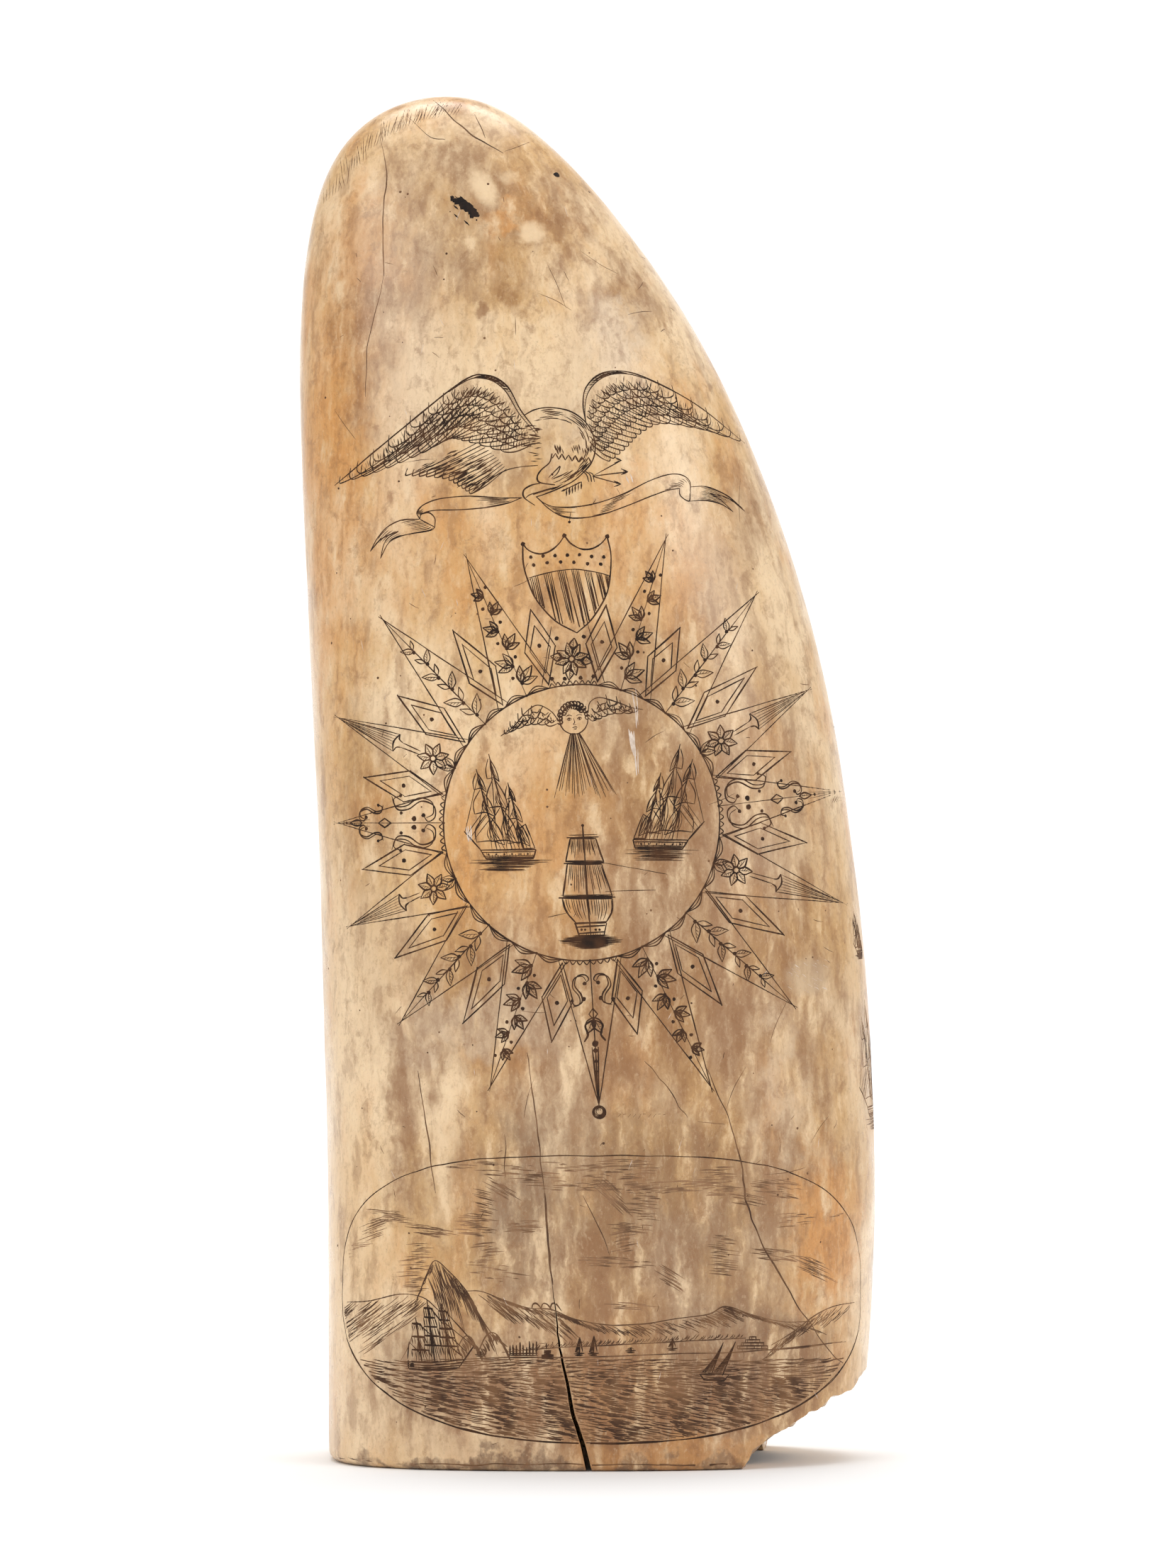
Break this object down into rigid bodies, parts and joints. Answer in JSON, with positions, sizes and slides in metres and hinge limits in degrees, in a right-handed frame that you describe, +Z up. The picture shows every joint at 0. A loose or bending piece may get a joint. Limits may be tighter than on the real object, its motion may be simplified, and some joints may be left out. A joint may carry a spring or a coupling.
{
  "type": "scrimshaw whale tooth",
  "caption": "Tall blunt ivory-coloured tooth, hollow at its sawn root, engraved with sailing ships, a rayed sun, an eagle and a harbour.",
  "frame": {"origin": "middle of the tooth's box, on the plane of the sawn root that it stands on", "axes": "+Z up from the sawn root to the tip, +X towards the broken corner of the root, -Y out of the broad face that carries the main picture"},
  "size_m": [0.0804, 0.049, 0.19],
  "materials": {
    "dentine": "hand-polished aged tooth ivory, satin to semi-gloss, cream with honey and grey-brown stains",
    "engraving_ink": "matt lampblack rubbed into needle-cut lines"
  },
  "bodies": {
    "root": {"tooth": "dentine"}
  },
  "joints": []
}
